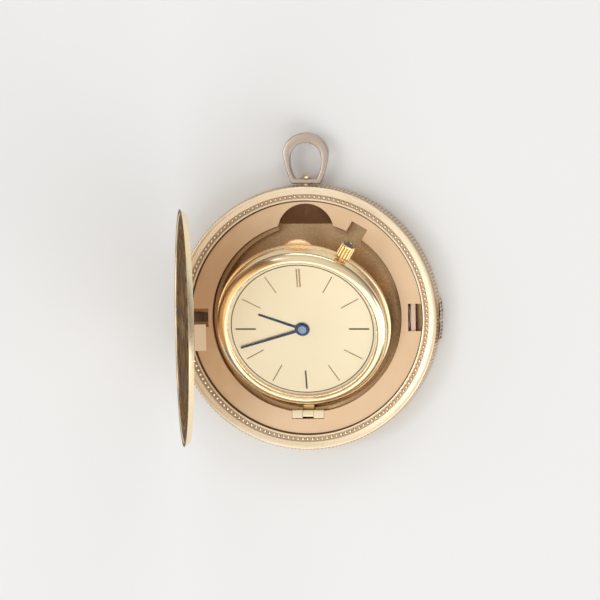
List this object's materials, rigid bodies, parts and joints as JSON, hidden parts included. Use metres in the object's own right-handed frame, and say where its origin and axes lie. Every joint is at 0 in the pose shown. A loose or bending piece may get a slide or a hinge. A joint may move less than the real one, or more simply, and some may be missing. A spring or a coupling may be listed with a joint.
{
  "type": "coin watch",
  "caption": "Watch hidden in a reeded gold coin: hinged lid with push-button catch, hinged hand-wound watch head that lifts by a thumb tab, and a swivelling stirrup bail.",
  "frame": {"origin": "centre of the coin's back face, flush with the middle of its struck back", "axes": "+Z from the back towards the dial; +Y towards 12 o'clock and the bail; +X towards 3 o'clock, the catch and the push button; the lid's hinge is at -X and the watch head's at -Y. Rest pose: lid 77.3 degrees open, head raised 22.8 degrees, as pictured"},
  "size_m": [0.0343, 0.0406, 0.0335],
  "materials": {
    "coin_gold": "struck, soft lustre",
    "satin_gold": "satin",
    "polished_gold": "polished",
    "steel": "fine ground",
    "blued_steel": "heat blued",
    "movement_brass": "fine grained, gilt",
    "bridge_plating": "plated and striped",
    "dial_cream": "matte lacquer",
    "crystal_glass": "clear",
    "ruby": "polished"
  },
  "bodies": {
    "case": {"coin_case": "coin_gold", "inner_frame": "satin_gold", "lid_hinge_pin": "steel", "head_hinge_leaf": "satin_gold", "head_hinge_pin": "steel", "bail_post": "polished_gold", "lid_lift_spring": "steel", "catch_spring": "steel"},
    "lid": {"lid": "coin_gold", "lid_hinge_ear": "satin_gold", "lid_catch_hook": "satin_gold"},
    "catch": {"push_button": "coin_gold", "catch_slider": "satin_gold"},
    "bail": {"bail": "polished_gold"},
    "head": {"head_case": "polished_gold", "case_tube": "polished_gold", "bezel": "polished_gold", "crystal": "crystal_glass", "dial": "dial_cream", "hour_markers": "blued_steel", "mainplate": "movement_brass", "barrel_bridge": "bridge_plating", "train_bridge": "bridge_plating", "balance_cock": "bridge_plating", "bridge_screws": "steel", "jewels": "ruby"},
    "minute": {"minute_hand": "blued_steel", "hand_cap": "steel", "cannon_pinion": "steel"},
    "hour": {"hour_hand": "blued_steel", "hour_wheel": "movement_brass"},
    "minute_wheel": {"minute_wheel": "movement_brass"},
    "center": {"center_wheel": "movement_brass"},
    "third": {"third_wheel": "movement_brass"},
    "fourth": {"fourth_wheel": "movement_brass"},
    "escape": {"escape_wheel": "steel"},
    "pallet": {"pallet_fork": "steel"},
    "balance": {"balance_wheel": "movement_brass", "hairspring": "blued_steel"},
    "barrel": {"mainspring_barrel": "movement_brass", "barrel_cover": "movement_brass", "mainspring": "steel"},
    "barrel_arbor": {"barrel_arbor": "steel", "ratchet_wheel": "steel"},
    "crown_wheel": {"crown_wheel": "steel"},
    "click": {"click": "steel"},
    "setting": {"setting_lever": "steel"},
    "crown": {"crown": "polished_gold", "stem": "steel", "winding_pinion": "steel"}
  },
  "joints": [
    {"name": "lid_hinge", "type": "hinge", "parent": "case", "child": "lid", "pos_m": [-0.01613, 0, 0.00293], "axis": [0, -1, 0], "range_deg": [-77.3, 17.7]},
    {"name": "head_hinge", "type": "hinge", "parent": "case", "child": "head", "pos_m": [0, -0.01235, 0.00272], "axis": [1, 0, 0], "range_deg": [-22.8, 5.3]},
    {"name": "button_press", "type": "slide", "parent": "case", "child": "catch", "axis": [-1, 0, 0], "range_m": [0, 0.0003], "stiffness_N_per_m": 3000, "springref_m": -0.0001, "deforming": ["catch_spring"]},
    {"name": "bail_swivel", "type": "hinge", "parent": "case", "child": "bail", "pos_m": [0, 0.01774, 0.002], "axis": [0, 1, 0], "continuous": true},
    {"name": "crown_pull", "type": "slide", "parent": "head", "child": "setting", "axis": [0.5, 0.7984, 0.3356], "range_m": [0, 0.0004]},
    {"name": "crown_turn", "type": "hinge", "parent": "setting", "child": "crown", "pos_m": [0.006, 0.00883, 0.01025], "axis": [0.5, 0.7984, 0.3356], "continuous": true},
    {"name": "crown_wheel_turn", "type": "hinge", "parent": "head", "child": "crown_wheel", "pos_m": [0.00337, 0.00491, 0.00783], "axis": [0, -0.3875, 0.9219], "continuous": true},
    {"name": "ratchet_turn", "type": "hinge", "parent": "head", "child": "barrel_arbor", "pos_m": [0, 0.00369, 0.00732], "axis": [0, -0.3875, 0.9219], "continuous": true},
    {"name": "click_lift", "type": "hinge", "parent": "head", "child": "click", "pos_m": [-0.00335, 0.00225, 0.00671], "axis": [0, -0.3875, 0.9219], "range_deg": [0, 10], "stiffness_Nm_per_rad": 0.000002, "springref_deg": -5.73},
    {"name": "minute_turn", "type": "hinge", "parent": "head", "child": "minute", "pos_m": [0, -0.00121, 0.00733], "axis": [0, -0.3875, 0.9219], "continuous": true},
    {"name": "minute_wheel_turn", "type": "hinge", "parent": "head", "child": "minute_wheel", "pos_m": [0.00227, -0.00176, 0.00649], "axis": [0, -0.3875, 0.9219], "continuous": true},
    {"name": "hour_turn", "type": "hinge", "parent": "head", "child": "hour", "pos_m": [0, -0.00117, 0.00721], "axis": [0, -0.3875, 0.9219], "continuous": true},
    {"name": "fourth_turn", "type": "hinge", "parent": "head", "child": "fourth", "pos_m": [-0.00266, -0.00487, 0.00439], "axis": [0, -0.3875, 0.9219], "continuous": true},
    {"name": "escape_turn", "type": "hinge", "parent": "head", "child": "escape", "pos_m": [-0.00064, -0.00604, 0.00416], "axis": [0, -0.3875, 0.9219], "continuous": true},
    {"name": "third_turn", "type": "hinge", "parent": "head", "child": "third", "pos_m": [-0.00314, -0.00248, 0.00566], "axis": [0, -0.3875, 0.9219], "continuous": true},
    {"name": "center_turn", "type": "hinge", "parent": "head", "child": "center", "pos_m": [0, -0.00064, 0.00597], "axis": [0, -0.3875, 0.9219], "continuous": true},
    {"name": "barrel_turn", "type": "hinge", "parent": "head", "child": "barrel", "pos_m": [0, 0.00339, 0.00803], "axis": [0, -0.3875, 0.9219], "continuous": true},
    {"name": "pallet_swing", "type": "hinge", "parent": "head", "child": "pallet", "pos_m": [0.00123, -0.00634, 0.00403], "axis": [0, -0.3875, 0.9219], "range_deg": [-5, 5]},
    {"name": "balance_swing", "type": "hinge", "parent": "head", "child": "balance", "pos_m": [0.00359, -0.00518, 0.0041], "axis": [0, -0.3875, 0.9219], "range_deg": [-135, 135], "stiffness_Nm_per_rad": 0.000000015}
  ],
  "couplings": [
    {"joint": "head_hinge", "follows": "lid_hinge", "ratio": 0.29495},
    {"joint": "crown_wheel_turn", "follows": "crown_turn", "ratio": -0.42857},
    {"joint": "ratchet_turn", "follows": "crown_turn", "ratio": 0.27273},
    {"joint": "minute_wheel_turn", "follows": "minute_turn", "ratio": -0.33333},
    {"joint": "hour_turn", "follows": "minute_turn", "ratio": 0.083333},
    {"joint": "escape_turn", "follows": "fourth_turn", "ratio": -10},
    {"joint": "third_turn", "follows": "fourth_turn", "ratio": -0.13333},
    {"joint": "center_turn", "follows": "fourth_turn", "ratio": 0.016667},
    {"joint": "barrel_turn", "follows": "fourth_turn", "ratio": -0.0020833}
  ]
}
